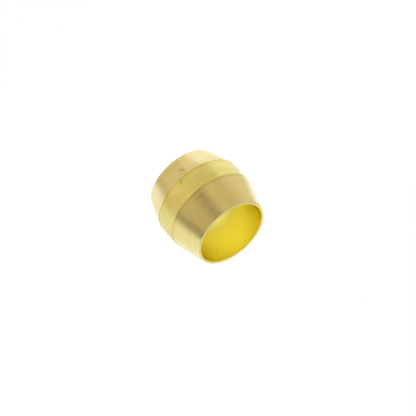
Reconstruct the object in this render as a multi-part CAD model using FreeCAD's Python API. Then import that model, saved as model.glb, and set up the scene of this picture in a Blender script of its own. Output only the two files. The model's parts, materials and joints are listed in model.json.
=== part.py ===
import FreeCAD, Part
import math
import os

# Compression olive: the brass ring that a compression nut squeezes onto a tube.
# It is turned in one piece from bar: a plain band between two cones, bored right through.
# It stands on the end of its shorter cone, with the bore along +Z. Lengths are millimetres.

# Tube and bore
tube_diameter = 6.0       # outside diameter of the tube that the olive seals
tube_clearance = 0.05     # radial room, so that the olive slides onto the tube by hand

# Walls, measured outward from the bore
band_wall = 0.95          # at the plain band, which is the bar that the olive is turned from
end_wall = 0.22           # at the thin end of each cone

# Lengths along the bore
short_cone_length = 2.2   # lower cone, seats in the mouth of the fitting's body
band_length = 1.9
long_cone_length = 2.85   # upper cone, pressed by the nut

# Rounds
edge_round = 0.04         # burr taken off the four corners of the ends
shoulder_round = 0.30     # where each cone runs out into the band

# A corner of an end may use up at most this share of the thin wall
largest_round_share = 0.3

# Worked out from the dimensions above
bore_radius = tube_diameter / 2 + tube_clearance
band_radius = bore_radius + band_wall
end_radius = bore_radius + end_wall
band_bottom = short_cone_length
band_top = band_bottom + band_length
total_length = band_top + long_cone_length
end_round = min(edge_round, largest_round_share * end_wall)


def section_point(radius, height):
    """A point of the half section, which lies in the XZ plane."""
    return FreeCAD.Vector(radius, 0, height)


def corner_arc(before, corner, after, radius):
    """The arc of the given radius that is tangent to both lines of a corner."""
    to_before = (before - corner).normalize()
    to_after = (after - corner).normalize()
    half_angle = to_before.getAngle(to_after) / 2
    setback = radius / math.tan(half_angle)
    depth = radius / math.sin(half_angle) - radius
    inward = (to_before + to_after).normalize()
    return Part.Arc(corner + to_before * setback, corner + inward * depth, corner + to_after * setback)


def rounded_outline(corners):
    """A closed wire through (point, round radius) corners, with a line from each round to the next."""
    points = [point for point, radius in corners]
    arcs = []
    for i, (point, radius) in enumerate(corners):
        arcs.append(corner_arc(points[i - 1], point, points[(i + 1) % len(points)], radius))
    edges = []
    for i, arc in enumerate(arcs):
        next_arc = arcs[(i + 1) % len(arcs)]
        edges.append(arc.toShape())
        edges.append(Part.LineSegment(arc.EndPoint, next_arc.StartPoint).toShape())
    return Part.Wire(edges)


def make_olive():
    """Turn the half section about the bore's axis."""
    half_section = rounded_outline([
        (section_point(bore_radius, 0), end_round),
        (section_point(end_radius, 0), end_round),
        (section_point(band_radius, band_bottom), shoulder_round),
        (section_point(band_radius, band_top), shoulder_round),
        (section_point(end_radius, total_length), end_round),
        (section_point(bore_radius, total_length), end_round),
    ])
    return Part.Face(half_section).revolve(FreeCAD.Vector(0, 0, 0), FreeCAD.Vector(0, 0, 1), 360)


os.makedirs("parts", exist_ok=True)
make_olive().exportStep("parts/olive.step")
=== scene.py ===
import json
import math
import random

import bpy
from mathutils import Matrix, Vector


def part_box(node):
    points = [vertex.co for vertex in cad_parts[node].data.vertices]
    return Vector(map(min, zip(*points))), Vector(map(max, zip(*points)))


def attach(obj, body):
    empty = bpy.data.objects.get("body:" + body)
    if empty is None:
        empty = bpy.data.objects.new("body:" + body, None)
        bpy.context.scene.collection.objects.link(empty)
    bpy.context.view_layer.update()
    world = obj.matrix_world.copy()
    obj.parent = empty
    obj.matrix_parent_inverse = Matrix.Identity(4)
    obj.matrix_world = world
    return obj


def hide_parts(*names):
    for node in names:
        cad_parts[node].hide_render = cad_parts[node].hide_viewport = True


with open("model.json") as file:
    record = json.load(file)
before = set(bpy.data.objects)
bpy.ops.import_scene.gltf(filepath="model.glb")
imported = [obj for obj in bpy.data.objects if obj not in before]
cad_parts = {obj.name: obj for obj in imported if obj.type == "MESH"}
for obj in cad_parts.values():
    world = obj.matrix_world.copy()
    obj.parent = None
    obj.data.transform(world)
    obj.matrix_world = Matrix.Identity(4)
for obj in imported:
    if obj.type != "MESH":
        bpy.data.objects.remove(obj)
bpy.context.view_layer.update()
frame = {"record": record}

# A turned brass compression olive, standing on the end of its shorter cone.
# Lengths are metres, written as multiples of MM. Azimuth 0 faces the camera, and +X is at 90 degrees.
MM = 0.001
MICRON = 0.001 * MM

# Sizes of the olive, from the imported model
mounts = {mount["name"]: mount for mount in frame["record"]["mounts"]}
box_low, box_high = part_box("olive")
LENGTH = box_high.z - box_low.z
BAND_RADIUS = box_high.x
BORE_RADIUS = mounts["tube_bore"]["dims"]["r_mm"] * MM
END_RADIUS = 2 * mounts["lower_end"]["pos_m"][0] - BORE_RADIUS
BAND_BOTTOM = 2 * mounts["body_cone"]["pos_m"][2]
BAND_TOP = 2 * mounts["nut_cone"]["pos_m"][2] - LENGTH
END_ROUND = 0.04 * MM
SHOULDER_ROUND = 0.30 * MM

# Turned surface. The pitch and depth of each groove are drawn from a range of shares.
SEGMENTS = 400
ROUND_STEPS = 3
PLAIN_STEPS = {"end": 3, "band": 12, "bore": 16}
GROOVE_PITCH = 0.14 * MM
GROOVE_PITCH_RANGE = (0.8, 1.2)
GROOVE_DEPTH = 3.0 * MICRON
GROOVE_DEPTH_RANGE = (0.4, 1.3)
GROOVE_STEPS = 4
GROOVE_SEED = 11

# Marks on the outside: a stained pit in the lower cone and a nick just above the band's lower edge.
# Lean is the turn of a mark's length from the way round towards +Z, in degrees.
MARKS = (
    {
        "azimuth": -7.5,
        "height": 1.48 * MM,
        "length": 0.27 * MM,
        "breadth": 0.13 * MM,
        "lean": -45,
        "depth": 8 * MICRON,
        "stain": (0.61, 0.48, 0.21),
    },
    {
        "azimuth": 2.9,
        "height": 2.45 * MM,
        "length": 0.27 * MM,
        "breadth": 0.12 * MM,
        "lean": 52,
        "depth": 7 * MICRON,
        "stain": (0.62, 0.51, 0.125),
    },
)

# A stain fades out between these two shares of its mark's length and breadth
MARK_CORE = 0.3
MARK_REACH = 1.6

# Brass by surface. The turned skin spreads a highlight along the olive, and the bore spreads it around.
# Unevenness is how far the roughness goes up and down.
# Rings, streaks and clouds are how much of each grain shows.
ALONG = 0.25
AROUND = 0.0
FINISHES = {
    "lower_cone": {
        "colour": (0.86, 0.755, 0.40),
        "roughness": 0.33,
        "unevenness": 0.05,
        "anisotropic": 0.6,
        "spread": ALONG,
        "rings": 0.6,
        "streaks": 0.1,
        "clouds": 0.6,
    },
    "band": {
        "colour": (0.84, 0.755, 0.275),
        "roughness": 0.30,
        "unevenness": 0.05,
        "anisotropic": 0.3,
        "spread": ALONG,
        "rings": 0.1,
        "streaks": 0.15,
        "clouds": 0.8,
    },
    "upper_cone": {
        "colour": (0.825, 0.705, 0.31),
        "roughness": 0.33,
        "unevenness": 0.05,
        "anisotropic": 0.6,
        "spread": ALONG,
        "rings": 0.6,
        "streaks": 0.1,
        "clouds": 0.6,
    },
    "bore": {
        "colour": (0.98, 0.865, 0.20),
        "roughness": 0.23,
        "unevenness": 0.02,
        "anisotropic": 0.8,
        "spread": AROUND,
        "rings": 0.03,
        "streaks": 0.03,
        "clouds": 0.15,
    },
    "end": {
        "colour": (0.72, 0.62, 0.27),
        "roughness": 0.40,
        "unevenness": 0.05,
        "anisotropic": 0.9,
        "spread": ALONG,
        "rings": 0.3,
        "streaks": 0.1,
        "clouds": 0.3,
    },
}
OUTSIDE = ("lower_cone", "band", "upper_cone")

# Grains of the skin: features a metre round the olive and along it, and the noise levels where they show.
# Rings are left by the tool, streaks run along the bar, clouds are tarnish.
GRAINS = {
    "clouds": {"around": 900, "along": 900, "detail": 3, "shows": (0.30, 0.70)},
    "rings": {"around": 120, "along": 9000, "detail": 4, "shows": (0.45, 0.70)},
    "streaks": {"around": 5000, "along": 150, "detail": 2, "shows": (0.45, 0.75)},
}

# What the grains do: tint the brass, make it rougher between two noise levels of the rings, and raise it
DULL = (0.90, 0.86, 0.78)
ROUGHNESS_LEVELS = (0.30, 0.70)
BUMP_STRENGTH = 0.5
BUMP_HEIGHT = 1.5 * MICRON

# Painted shade: the bore's wall is tinted darker inwards, between two depths below its upper mouth
BORE_SHADE = (0.88, 0.87, 0.90)
BORE_SHADE_DEPTHS = (0.5 * MM, 2.1 * MM)

# Darker lines just above the band's two edges, and at the foot a painted shade in place of the floor's
# contact shadow
LINE_TINT = (0.76, 0.71, 0.40)
LINE_SHARE = 0.65
LINE_REACH = 0.17 * MM
LINE_ABOVE_EDGE = 0.06 * MM
LINE_HEIGHTS = (0.0, BAND_BOTTOM + LINE_ABOVE_EDGE, BAND_TOP + LINE_ABOVE_EDGE)

# Camera. Angles are degrees, and the axis in the picture is the turn of +Z from its right-hand side.
# The middle in the picture is the olive's, in pixels from the upper left corner.
# PIXEL is the width of a pixel at the olive, and the sensor's width is in millimetres.
VIEW_ELEVATION = 31.7
AXIS_IN_PICTURE = -47.8
PICTURE_PIXELS = 416
PIXEL = 0.0828 * MM
MIDDLE_IN_PICTURE = (207.3, 206.7)
CAMERA_DISTANCE = 332 * MM
SENSOR_WIDTH = 36

# Floor: a white table. The camera sees an even glow and a matt colour with the olive's shadow.
FLOOR_RADIUS = 28 * MM
FLOOR_SIDES = 128
FLOOR_COLOUR = (0.4, 0.4, 0.4)
FLOOR_SEEN = 0.75

# Painted reflection, what the brass mirrors of the floor: white, less bright away from the foot and towards
# +X
NEAR_RADIUS = 3.4 * MM
FAR_RADIUS = 8.5 * MM
FLOOR_NEAR = 1.14
FLOOR_FAR = 1.0
FLOOR_TILT = 0.025

# Painted shade: a dim warm fan on the mirrored floor in front, with (azimuth, colour) stops near the foot
# and far from it.
# Its low and high edges spread with the distance, from a first azimuth to a second, along a curve.
# Softness is half the breadth of an edge, in degrees.
FAN_NEAR = (
    (-19, (0.92, 0.83, 0.65)),
    (-11, (0.78, 0.69, 0.49)),
    (18, (0.78, 0.69, 0.49)),
    (36, (0.60, 0.53, 0.34)),
)
FAN_FAR = (
    (-16, (0.77, 0.69, 0.51)),
    (12, (0.90, 0.80, 0.60)),
    (24, (0.90, 0.80, 0.60)),
    (40, (0.79, 0.70, 0.52)),
)
LOW_AZIMUTHS = (-27, -61)
HIGH_AZIMUTHS = (34, 64)
LOW_SOFTNESS = 9
HIGH_SOFTNESS = 10
FAN_CURVE = 0.7

# A painted pool of light on the mirrored floor under the bore, which fades towards the foot.
# Distances along Y count by a share, so the pool is longer that way.
POOL_LEVEL = 1.28
POOL_FADED = 0.86
POOL_RADIUS = 0.4 * MM
POOL_Y_SHARE = 0.75

# Two painted glints: whiter places behind on the mirrored floor, one on each side, that the edges of the
# upper cone catch.
# They fade between two angles aside, in degrees, and rise between two radii.
GLINTS = (
    {"azimuth": -141, "colour": (1.22, 1.31, 1.50)},
    {"azimuth": 132, "colour": (1.10, 1.15, 1.26)},
)
GLINT_BREADTH = (6, 20)
GLINT_RADII = (9 * MM, 11.5 * MM)

# Level and tint of the low surroundings by azimuth, from the back round by -X, the camera and +X
WHITE = (1.0, 1.0, 1.0)
COOL = (1.0, 1.09, 1.16)
CREAM = (1.0, 0.98, 0.87)
PALE = (1.0, 0.93, 0.62)
DIM = (1.0, 0.81, 0.52)
LOW_LIGHT = (
    (-180, 0.70, WHITE),
    (-170, 1.50, COOL),
    (-156, 1.50, COOL),
    (-144, 0.85, WHITE),
    (-130, 0.62, DIM),
    (-100, 0.80, DIM),
    (-80, 0.69, DIM),
    (-60, 0.62, DIM),
    (-45, 0.65, PALE),
    (-26, 0.70, PALE),
    (-12, 0.25, DIM),
    (0, 0.20, DIM),
    (14, 0.47, DIM),
    (50, 0.57, DIM),
    (60, 0.13, DIM),
    (74, 0.13, DIM),
    (80, 1.10, CREAM),
    (110, 1.22, WHITE),
    (140, 1.50, COOL),
    (162, 1.55, COOL),
    (180, 0.70, WHITE),
)

# Light from above, and the two elevations in degrees between which it takes over from the low light
HIGH_LIGHT = (1.10, 1.10, 1.10)
LOW_LIGHT_TOP = 12
HIGH_LIGHT_FROM = 28

# Colour sockets of the mix node: its two colours and its result
MIX_COLOURS = (6, 7)
MIX_RESULT = 2


def corner_arc(before, corner, after, radius):
    """Points of the round at a corner of the section, from its first line to its second."""
    to_before = (before - corner).normalized()
    to_after = (after - corner).normalized()
    half_angle = to_before.angle(to_after) / 2
    centre = corner + (to_before + to_after).normalized() * radius / math.sin(half_angle)
    start = corner + to_before * radius / math.tan(half_angle) - centre
    turn = start.angle_signed(corner + to_after * radius / math.tan(half_angle) - centre)
    points = []
    for step in range(ROUND_STEPS + 1):
        points.append(centre + Matrix.Rotation(-turn * step / ROUND_STEPS, 2) @ start)
    return points


def grooved_line(start, end, draw):
    """Points along a turned line, each groove a shallow parabola between two crests."""
    direction = (end - start).normalized()
    inward = Vector((-direction.y, direction.x))
    count = round((end - start).length / GROOVE_PITCH)
    shares = [draw.uniform(*GROOVE_PITCH_RANGE) for groove in range(count)]
    points = []
    position = start
    for share in shares:
        run = (end - start) * share / sum(shares)
        depth = GROOVE_DEPTH * draw.uniform(*GROOVE_DEPTH_RANGE)
        for step in range(GROOVE_STEPS):
            along = step / GROOVE_STEPS
            points.append(position + run * along + inward * depth * 4 * along * (1 - along))
        position = position + run
    return points


def plain_line(start, end, count):
    """Points along a line, closer together near its ends, without the last one."""
    return [start.lerp(end, (1 - math.cos(math.pi * step / count)) / 2) for step in range(count)]


def section():
    """The closed half section as a list of (point, surface), with surface the name of what follows it."""
    draw = random.Random(GROOVE_SEED)
    corners = [
        (Vector((BORE_RADIUS, 0)), END_ROUND, "end"),
        (Vector((END_RADIUS, 0)), END_ROUND, "lower_cone"),
        (Vector((BAND_RADIUS, BAND_BOTTOM)), SHOULDER_ROUND, "band"),
        (Vector((BAND_RADIUS, BAND_TOP)), SHOULDER_ROUND, "upper_cone"),
        (Vector((END_RADIUS, LENGTH)), END_ROUND, "end"),
        (Vector((BORE_RADIUS, LENGTH)), END_ROUND, "bore"),
    ]
    places, rounds, surfaces = zip(*corners)
    count = len(corners)
    arcs = []
    for i in range(count):
        arcs.append(corner_arc(places[i - 1], places[i], places[(i + 1) % count], rounds[i]))
    points = []
    for i, surface in enumerate(surfaces):
        start = arcs[i][-1]
        end = arcs[(i + 1) % count][0]
        if surface in PLAIN_STEPS:
            line = plain_line(start, end, PLAIN_STEPS[surface])
        else:
            line = grooved_line(start, end, draw)
        points += [(point, surface) for point in arcs[i][:-1] + line]
    return points


def dent(mark, azimuth, height):
    """How far a mark sinks the surface at this place."""
    around = math.radians((azimuth - mark["azimuth"] + 180) % 360 - 180) * BAND_RADIUS
    along = height - mark["height"]
    lean = math.radians(mark["lean"])
    lengthwise = (around * math.cos(lean) + along * math.sin(lean)) / mark["length"]
    across = (along * math.cos(lean) - around * math.sin(lean)) / mark["breadth"]
    return mark["depth"] * math.exp(-lengthwise * lengthwise - across * across)


def make_olive(materials):
    """The section turned about the bore, with the marks sunk in and an unwrapped map for its finish."""
    points = section()
    count = len(points)
    verts = []
    for i in range(SEGMENTS):
        azimuth = 360 * i / SEGMENTS
        side, front = math.sin(math.radians(azimuth)), -math.cos(math.radians(azimuth))
        for point, surface in points:
            radius = point.x
            if surface in OUTSIDE:
                radius -= sum(dent(mark, azimuth, point.y) for mark in MARKS)
            verts.append((radius * side, radius * front, point.y))
    faces = []
    for i in range(SEGMENTS):
        j = (i + 1) % SEGMENTS
        for k in range(count):
            m = (k + 1) % count
            faces.append((i * count + k, j * count + k, j * count + m, i * count + m))
    mesh = bpy.data.meshes.new("olive_turned")
    mesh.from_pydata(verts, [], faces)
    names = list(materials)
    for name in names:
        mesh.materials.append(materials[name])
    indices = [names.index(points[f % count][1]) for f in range(len(faces))]
    mesh.polygons.foreach_set("material_index", indices)
    mesh.shade_smooth()
    unwrap(mesh, [point for point, surface in points])
    olive = bpy.data.objects.new("olive_turned", mesh)
    bpy.context.scene.collection.objects.link(olive)
    return olive


def unwrap(mesh, points):
    """Lay the skin out flat: across is the way round, up is the way along the section."""
    count = len(points)
    reach = [0.0]
    for k in range(count):
        reach.append(reach[-1] + (points[(k + 1) % count] - points[k]).length)
    layer = mesh.uv_layers.new(name="OFBake")
    flat = []
    for f in range(SEGMENTS * count):
        i, k = divmod(f, count)
        left, right = i / SEGMENTS, (i + 1) / SEGMENTS
        low, high = reach[k] / reach[-1], reach[k + 1] / reach[-1]
        flat += [left, low, right, low, right, high, left, high]
    layer.data.foreach_set("uv", flat)


def node(tree, kind, sockets, **settings):
    """A new shader node, with each named socket linked to a socket or set to a value."""
    made = tree.nodes.new("ShaderNode" + kind)
    for name, value in settings.items():
        setattr(made, name, value)
    for name, value in sockets.items():
        if isinstance(value, bpy.types.NodeSocket):
            tree.links.new(value, made.inputs[name])
        else:
            made.inputs[name].default_value = value
    return made


def math_node(tree, operation, *values):
    """The result of a sum on levels."""
    return node(tree, "Math", dict(enumerate(values)), operation=operation).outputs[0]


def length_node(tree, vector):
    """The length of a vector."""
    return node(tree, "VectorMath", {0: vector}, operation="LENGTH").outputs["Value"]


def part_node(tree, vector, axis):
    """The part of a vector along the axis X, Y or Z."""
    return node(tree, "SeparateXYZ", {0: vector}).outputs[axis]


def grain(tree, place, size):
    """Noise with the grain's features a metre round the olive and along it."""
    scale = (size["around"], size["around"], size["along"])
    stretched = node(tree, "Mapping", {"Vector": place, "Scale": scale})
    noise = node(tree, "TexNoise", {"Vector": stretched.outputs[0], "Scale": 1.0, "Detail": size["detail"]})
    return noise.outputs["Fac"]


def ramp(tree, level, low, high, from_low, from_high):
    """A level carried smoothly from the second range to the first."""
    sockets = {"Value": level, "From Min": from_low, "From Max": from_high, "To Min": low, "To Max": high}
    return node(tree, "MapRange", sockets, interpolation_type="SMOOTHSTEP").outputs[0]


def mixed_colours(tree, colour, other, share):
    """Two colours mixed by a share, through the colour sockets of the mix node."""
    mixed = tree.nodes.new("ShaderNodeMix")
    mixed.data_type = "RGBA"
    tree.links.new(share, mixed.inputs[0])
    for place, value in zip(MIX_COLOURS, (colour, other)):
        if isinstance(value, bpy.types.NodeSocket):
            tree.links.new(value, mixed.inputs[place])
        else:
            mixed.inputs[place].default_value = (*value, 1.0)
    return mixed.outputs[MIX_RESULT]


def tinted(colour, tint):
    """A colour seen through a tint."""
    return [level * share for level, share in zip(colour, tint)]


def mark_share(tree, place, mark):
    """1 in the middle of a mark, falling to 0 a little outside it."""
    azimuth = math.radians(mark["azimuth"])
    lean = math.radians(mark["lean"])
    outward = Vector((math.sin(azimuth), -math.cos(azimuth), 0))
    around = Vector((math.cos(azimuth), math.sin(azimuth), 0))
    along = Vector((0, 0, 1))
    axes = (
        (around * math.cos(lean) + along * math.sin(lean)) / mark["length"],
        (along * math.cos(lean) - around * math.sin(lean)) / mark["breadth"],
        outward / BAND_RADIUS,
    )
    spot = outward * BAND_RADIUS + along * mark["height"]
    offset = node(tree, "VectorMath", {0: place, 1: spot}, operation="SUBTRACT").outputs[0]
    away = node(tree, "CombineXYZ", {})
    for i, axis in enumerate(axes):
        part = node(tree, "VectorMath", {0: offset, 1: axis}, operation="DOT_PRODUCT").outputs["Value"]
        tree.links.new(part, away.inputs[i])
    return ramp(tree, length_node(tree, away.outputs[0]), 1.0, 0.0, MARK_CORE, MARK_REACH)


def line_share(tree, place):
    """The share of the dark lines at this place, the one at the foot being painted shade: most on a line,
    falling to 0 a little away from it.
    """
    height = part_node(tree, place, "Z")
    share = 0.0
    for line in LINE_HEIGHTS:
        away = math_node(tree, "ABSOLUTE", math_node(tree, "SUBTRACT", height, line))
        share = math_node(tree, "MAXIMUM", share, ramp(tree, away, LINE_SHARE, 0.0, 0.0, LINE_REACH))
    return share


def bore_shade_share(tree, place):
    """The share of the painted shade in the bore: 0 at its upper mouth, rising to 1 further in."""
    depth = math_node(tree, "SUBTRACT", LENGTH, part_node(tree, place, "Z"))
    return ramp(tree, depth, 0.0, 1.0, *BORE_SHADE_DEPTHS)


def brass(surface):
    """Brass with rings from the tool, streaks along the bar, clouded tarnish, dark lines with a painted
    shade at the foot, the marks, and painted shade down the bore.
    """
    finish = FINISHES[surface]
    material = bpy.data.materials.new("brass " + surface.replace("_", " "))
    material.use_nodes = True
    tree = material.node_tree
    shader = tree.nodes["Principled BSDF"]
    place = node(tree, "TexCoord", {}).outputs["Object"]
    grains = {name: grain(tree, place, size) for name, size in GRAINS.items()}
    base = finish["colour"]
    for name, size in GRAINS.items():
        share = ramp(tree, grains[name], 0.0, finish[name], *size["shows"])
        base = mixed_colours(tree, base, tinted(finish["colour"], DULL), share)
    if surface in OUTSIDE:
        # The dark lines: the one at the foot is painted shade
        base = mixed_colours(tree, base, tinted(finish["colour"], LINE_TINT), line_share(tree, place))
        for mark in MARKS:
            base = mixed_colours(tree, base, mark["stain"], mark_share(tree, place, mark))
    # Painted shade, darker further down the bore
    if surface == "bore":
        base = mixed_colours(tree, base, tinted(finish["colour"], BORE_SHADE), bore_shade_share(tree, place))
    tree.links.new(base, shader.inputs["Base Color"])
    smoothest = finish["roughness"] - finish["unevenness"]
    roughest = finish["roughness"] + finish["unevenness"]
    rough = ramp(tree, grains["rings"], smoothest, roughest, *ROUGHNESS_LEVELS)
    tree.links.new(rough, shader.inputs["Roughness"])
    ring_height = math_node(tree, "MULTIPLY", grains["rings"], finish["rings"])
    height = math_node(tree, "MULTIPLY_ADD", grains["streaks"], finish["streaks"], ring_height)
    bump = node(tree, "Bump", {"Strength": BUMP_STRENGTH, "Distance": BUMP_HEIGHT, "Height": height})
    tree.links.new(bump.outputs[0], shader.inputs["Normal"])
    shader.inputs["Metallic"].default_value = 1.0
    shader.inputs["Anisotropic"].default_value = finish["anisotropic"]
    shader.inputs["Anisotropic Rotation"].default_value = finish["spread"]
    return material


def azimuth_node(tree, direction):
    """The azimuth of a direction, in radians."""
    side = part_node(tree, direction, "X")
    front = math_node(tree, "MULTIPLY", part_node(tree, direction, "Y"), -1.0)
    return math_node(tree, "ARCTAN2", side, front)


def between(tree, share, ends):
    """A level between two ends, by a share from 0 to 1."""
    return math_node(tree, "MULTIPLY_ADD", share, ends[1] - ends[0], ends[0])


def colour_by_azimuth(tree, azimuth, stops):
    """A colour that goes smoothly from each (azimuth, colour) stop to the next."""
    start, colour = stops[0]
    for end, after in stops[1:]:
        colour = mixed_colours(tree, colour, after, ramp(tree, azimuth, 0.0, 1.0, start, end))
        start = end
    return colour


def fan_share(tree, azimuth, distance):
    """1 inside the painted shade fan of the mirrored floor, falling to 0 across its two edges."""
    sockets = {"Value": distance, "From Min": NEAR_RADIUS, "From Max": FAR_RADIUS}
    spread = math_node(tree, "POWER", node(tree, "MapRange", sockets).outputs[0], FAN_CURVE)
    past_low = math_node(tree, "SUBTRACT", azimuth, between(tree, spread, LOW_AZIMUTHS))
    before_high = math_node(tree, "SUBTRACT", between(tree, spread, HIGH_AZIMUTHS), azimuth)
    low_edge = ramp(tree, past_low, 0.0, 1.0, -LOW_SOFTNESS, LOW_SOFTNESS)
    high_edge = ramp(tree, before_high, 0.0, 1.0, -HIGH_SOFTNESS, HIGH_SOFTNESS)
    return math_node(tree, "MULTIPLY", low_edge, high_edge)


def glint_share(tree, azimuth, distance, middle):
    """1 inside a painted glint of the mirrored floor, falling to 0 around it."""
    aside = math_node(tree, "ABSOLUTE", math_node(tree, "SUBTRACT", azimuth, middle))
    across = ramp(tree, aside, 1.0, 0.0, *GLINT_BREADTH)
    return math_node(tree, "MULTIPLY", across, ramp(tree, distance, 0.0, 1.0, *GLINT_RADII))


def painted_floor_reflection(tree):
    """The painted reflection: the colour that the brass mirrors of the floor."""
    place = node(tree, "NewGeometry", {}).outputs["Position"]
    side = part_node(tree, place, "X")
    distance = length_node(tree, place)
    azimuth = math_node(tree, "DEGREES", azimuth_node(tree, place))
    away = ramp(tree, distance, 0.0, 1.0, NEAR_RADIUS, FAR_RADIUS)
    tilt = ramp(tree, side, 1 + FLOOR_TILT, 1 - FLOOR_TILT, -BAND_RADIUS, BAND_RADIUS)
    white = math_node(tree, "MULTIPLY", between(tree, away, (FLOOR_NEAR, FLOOR_FAR)), tilt)
    near = colour_by_azimuth(tree, azimuth, FAN_NEAR)
    far = colour_by_azimuth(tree, azimuth, FAN_FAR)
    fan = mixed_colours(tree, near, far, away)
    outside = white
    for glint in GLINTS:
        share = glint_share(tree, azimuth, distance, glint["azimuth"])
        outside = mixed_colours(tree, outside, glint["colour"], share)
    outside = mixed_colours(tree, outside, fan, fan_share(tree, azimuth, distance))
    # The painted pool of light under the bore
    shares = (1.0, POOL_Y_SHARE, 1.0)
    squeezed = node(tree, "VectorMath", {0: place, 1: shares}, operation="MULTIPLY").outputs[0]
    pool = ramp(tree, length_node(tree, squeezed), POOL_LEVEL, POOL_FADED, POOL_RADIUS, BORE_RADIUS)
    return mixed_colours(tree, pool, outside, ramp(tree, distance, 0.0, 1.0, BORE_RADIUS, END_RADIUS))


def make_floor():
    """A white disc that keeps the olive's shadow and glows only for what is seen of it. Reflected rays see
    a painted reflection instead.
    """
    material = bpy.data.materials.new("floor white")
    material.use_nodes = True
    tree = material.node_tree
    tree.nodes.clear()
    path = node(tree, "LightPath", {})
    strength = math_node(tree, "MULTIPLY", path.outputs["Is Camera Ray"], FLOOR_SEEN)
    glow = node(tree, "Emission", {"Strength": strength})
    matt = node(tree, "BsdfDiffuse", {"Color": (*FLOOR_COLOUR, 1.0)})
    seen = node(tree, "AddShader", {0: glow.outputs[0], 1: matt.outputs[0]})
    # Glossy and transmission rays see the painted reflection in place of the floor
    mirrored = node(tree, "Emission", {"Color": painted_floor_reflection(tree)})
    bounced = math_node(tree, "MAXIMUM", path.outputs["Is Glossy Ray"], path.outputs["Is Transmission Ray"])
    both = node(tree, "MixShader", {0: bounced, 1: seen.outputs[0], 2: mirrored.outputs[0]})
    node(tree, "OutputMaterial", {"Surface": both.outputs[0]})
    mesh = bpy.data.meshes.new("floor")
    turns = [2 * math.pi * i / FLOOR_SIDES for i in range(FLOOR_SIDES)]
    corners = [(FLOOR_RADIUS * math.cos(turn), FLOOR_RADIUS * math.sin(turn), 0) for turn in turns]
    mesh.from_pydata(corners, [], [range(FLOOR_SIDES)])
    mesh.materials.append(material)
    floor = bpy.data.objects.new("floor", mesh)
    bpy.context.scene.collection.objects.link(floor)


def make_surroundings():
    """White to the camera. As light, bright all round above, with a darker low side by the camera."""
    world = bpy.data.worlds.new("studio")
    world.use_nodes = True
    bpy.context.scene.world = world
    tree = world.node_tree
    direction = node(tree, "TexCoord", {}).outputs["Generated"]
    turn = math_node(tree, "MULTIPLY_ADD", azimuth_node(tree, direction), 1 / (2 * math.pi), 0.5)
    low = node(tree, "ValToRGB", {"Fac": turn})
    stops = low.color_ramp.elements
    for i, (angle, level, tint) in enumerate(LOW_LIGHT):
        if i >= len(stops):
            stops.new(1.0)
        stops[i].position = (angle + 180) / 360
        stops[i].color = (*[level * part for part in tint], 1.0)
    elevation = math_node(tree, "ARCSINE", part_node(tree, direction, "Z"))
    height = ramp(tree, elevation, 0.0, 1.0, math.radians(LOW_LIGHT_TOP), math.radians(HIGH_LIGHT_FROM))
    light = mixed_colours(tree, low.outputs[0], HIGH_LIGHT, height)
    path = node(tree, "LightPath", {})
    seen = mixed_colours(tree, light, WHITE, path.outputs["Is Camera Ray"])
    tree.links.new(seen, tree.nodes["Background"].inputs["Color"])


def make_camera():
    """A long lens at the photograph's viewing angle, rolled as the photograph is."""
    camera = bpy.data.objects.new("camera", bpy.data.cameras.new("camera"))
    bpy.context.scene.collection.objects.link(camera)
    elevation = math.radians(VIEW_ELEVATION)
    back = Vector((0, -math.cos(elevation), math.sin(elevation)))
    roll = Matrix.Rotation(math.radians(90 - AXIS_IN_PICTURE), 3, "Z")
    turn = (-back).to_track_quat("-Z", "Y").to_matrix() @ roll
    centre = PICTURE_PIXELS / 2
    sideways = turn.col[0] * (centre - MIDDLE_IN_PICTURE[0]) * PIXEL
    upwards = turn.col[1] * (MIDDLE_IN_PICTURE[1] - centre) * PIXEL
    place = Vector((0, 0, LENGTH / 2)) + sideways + upwards + back * CAMERA_DISTANCE
    camera.matrix_world = Matrix.Translation(place) @ turn.to_4x4()
    camera.data.sensor_width = SENSOR_WIDTH
    camera.data.lens = CAMERA_DISTANCE * SENSOR_WIDTH / (PICTURE_PIXELS * PIXEL)
    bpy.context.scene.camera = camera


bpy.context.scene.view_settings.view_transform = "Standard"
olive = make_olive({surface: brass(surface) for surface in FINISHES})
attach(olive, "root")
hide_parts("olive")
make_floor()
make_surroundings()
make_camera()
